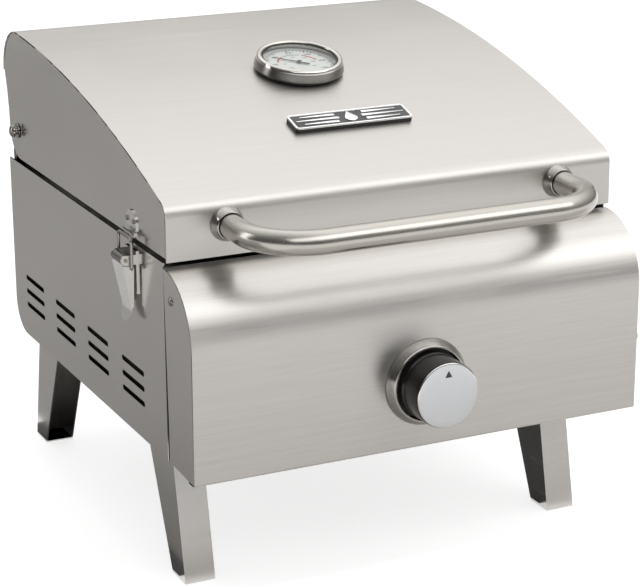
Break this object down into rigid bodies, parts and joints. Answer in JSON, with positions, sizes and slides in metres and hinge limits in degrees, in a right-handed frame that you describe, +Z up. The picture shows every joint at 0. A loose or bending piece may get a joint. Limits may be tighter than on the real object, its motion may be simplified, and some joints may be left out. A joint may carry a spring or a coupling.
{
  "type": "portable tabletop gas grill",
  "caption": "Compact tabletop gas grill in brushed steel with a hinged domed lid, tube handle, side latches, curved control panel with one knob, lid thermometer and folding channel legs.",
  "frame": {"origin": "middle of the footprint, on the table surface under the feet", "axes": "+X to the right of a person facing the control panel, +Y from the control panel to the hinge side, +Z up"},
  "size_m": [0.4098, 0.4618, 0.3801],
  "materials": {
    "lid_steel": "fine brushed stainless sheet",
    "panel_steel": "brushed stainless sheet",
    "handle_steel": "satin stainless tube",
    "polished_steel": "bright plated steel",
    "plain_steel": "plain steel",
    "fastener_steel": "bright fastener",
    "leg_steel": "brushed stainless channel",
    "firebox_steel": "mill-finish steel",
    "grate_iron": "porcelain-coated cast iron",
    "knob_metal": "dark bright metal",
    "knob_face": "spun aluminium disc",
    "bezel_steel": "turned steel",
    "brass": "machined brass",
    "pipe_metal": "plain aluminium tube",
    "ceramic": "glazed insulator",
    "badge_dark": "black base",
    "badge_silver": "bright badge face",
    "dial_white": "printed dial",
    "needle_black": "black pointer",
    "gauge_glass": "flat gauge glass"
  },
  "bodies": {
    "body": {"control_panel": "panel_steel", "control_panel_end_left": "panel_steel", "control_panel_end_right": "panel_steel", "side_panel_left": "panel_steel", "side_panel_right": "panel_steel", "body_back_and_floor": "panel_steel", "body_front_wall": "panel_steel", "latch_base_left": "polished_steel", "latch_base_right": "polished_steel", "hinge_bracket_left": "plain_steel", "hinge_bracket_right": "plain_steel", "leg_brackets": "plain_steel", "tray_rails": "plain_steel", "burner_bracket": "plain_steel", "hinge_screws": "fastener_steel", "panel_screws": "fastener_steel", "latch_pins": "fastener_steel", "leg_pins": "fastener_steel", "firebox": "firebox_steel", "heat_plate": "firebox_steel", "burner_tube": "firebox_steel", "knob_bezel": "bezel_steel", "valve_body": "brass", "gas_jet": "brass", "gas_inlet": "brass", "gas_pipe": "pipe_metal", "igniter_electrode": "ceramic"},
    "lid": {"lid_cover": "lid_steel", "lid_side_left": "lid_steel", "lid_side_right": "lid_steel", "handle_tube": "handle_steel", "handle_collars": "polished_steel", "latch_catch_left": "polished_steel", "latch_catch_right": "polished_steel", "handle_screws": "plain_steel", "catch_rivets": "fastener_steel", "badge_backing": "badge_dark", "badge_face": "badge_silver", "thermometer_stem": "plain_steel", "thermometer_nut": "plain_steel", "thermometer_case": "plain_steel", "thermometer_bezel": "bezel_steel", "thermometer_dial": "dial_white", "thermometer_glass": "gauge_glass"},
    "needle": {"thermometer_needle": "needle_black"},
    "valve_plug": {"valve_rotor": "brass"},
    "knob": {"knob": "knob_metal", "knob_cap": "knob_face", "valve_stem": "plain_steel"},
    "grate": {"cooking_grate": "grate_iron"},
    "tray": {"grease_tray": "firebox_steel"},
    "lever_left": {"latch_lever_left": "polished_steel"},
    "bail_left": {"latch_bail_left": "polished_steel"},
    "lever_right": {"latch_lever_right": "polished_steel"},
    "bail_right": {"latch_bail_right": "polished_steel"},
    "leg_front_left": {"leg_front_left": "leg_steel"},
    "leg_front_right": {"leg_front_right": "leg_steel"},
    "leg_rear_left": {"leg_rear_left": "leg_steel"},
    "leg_rear_right": {"leg_rear_right": "leg_steel"}
  },
  "joints": [
    {"name": "lid_hinge", "type": "hinge", "parent": "body", "child": "lid", "pos_m": [0, 0.1991, 0.293], "axis": [-1, 0, 0], "range_deg": [0, 95]},
    {"name": "thermometer_needle_turn", "type": "hinge", "parent": "lid", "child": "needle", "pos_m": [0, 0.03057, 0.36222], "axis": [0, 0.1977, -0.9803], "range_deg": [-80, 190]},
    {"name": "knob_turn", "type": "hinge", "parent": "body", "child": "valve_plug", "pos_m": [0, -0.1674, 0.1595], "axis": [0, -1, 0], "range_deg": [0, 200]},
    {"name": "knob_push", "type": "slide", "parent": "valve_plug", "child": "knob", "axis": [0, 1, 0], "range_m": [0, 0.003], "stiffness_N_per_m": 800, "springref_m": -0.003},
    {"name": "grate_lift", "type": "slide", "parent": "body", "child": "grate", "axis": [0, 0, 1], "range_m": [0, 0.03]},
    {"name": "grease_tray_slide", "type": "slide", "parent": "body", "child": "tray", "axis": [0, 1, 0], "range_m": [0, 0.2]},
    {"name": "latch_lever_left_swing", "type": "hinge", "parent": "body", "child": "lever_left", "pos_m": [-0.2005, -0.0769, 0.2535], "axis": [0, 1, 0], "range_deg": [0, 140]},
    {"name": "latch_bail_left_swing", "type": "hinge", "parent": "lever_left", "child": "bail_left", "pos_m": [-0.1964, -0.0769, 0.2468], "axis": [0, 1, 0], "range_deg": [-140, 0]},
    {"name": "latch_lever_right_swing", "type": "hinge", "parent": "body", "child": "lever_right", "pos_m": [0.2005, -0.0769, 0.2535], "axis": [0, -1, 0], "range_deg": [0, 140]},
    {"name": "latch_bail_right_swing", "type": "hinge", "parent": "lever_right", "child": "bail_right", "pos_m": [0.1964, -0.0769, 0.2468], "axis": [0, -1, 0], "range_deg": [-140, 0]},
    {"name": "leg_front_left_fold", "type": "hinge", "parent": "body", "child": "leg_front_left", "pos_m": [-0.1635, -0.07305, 0.097], "axis": [1, 0, 0], "range_deg": [0, 112]},
    {"name": "leg_front_right_fold", "type": "hinge", "parent": "body", "child": "leg_front_right", "pos_m": [0.1635, -0.07305, 0.097], "axis": [1, 0, 0], "range_deg": [0, 112]},
    {"name": "leg_rear_left_fold", "type": "hinge", "parent": "body", "child": "leg_rear_left", "pos_m": [-0.1635, 0.16905, 0.097], "axis": [-1, 0, 0], "range_deg": [0, 112]},
    {"name": "leg_rear_right_fold", "type": "hinge", "parent": "body", "child": "leg_rear_right", "pos_m": [0.1635, 0.16905, 0.097], "axis": [-1, 0, 0], "range_deg": [0, 112]}
  ],
  "couplings": [
    {"joint": "latch_bail_left_swing", "follows": "latch_lever_left_swing", "ratio": -1},
    {"joint": "latch_bail_right_swing", "follows": "latch_lever_right_swing", "ratio": -1}
  ]
}
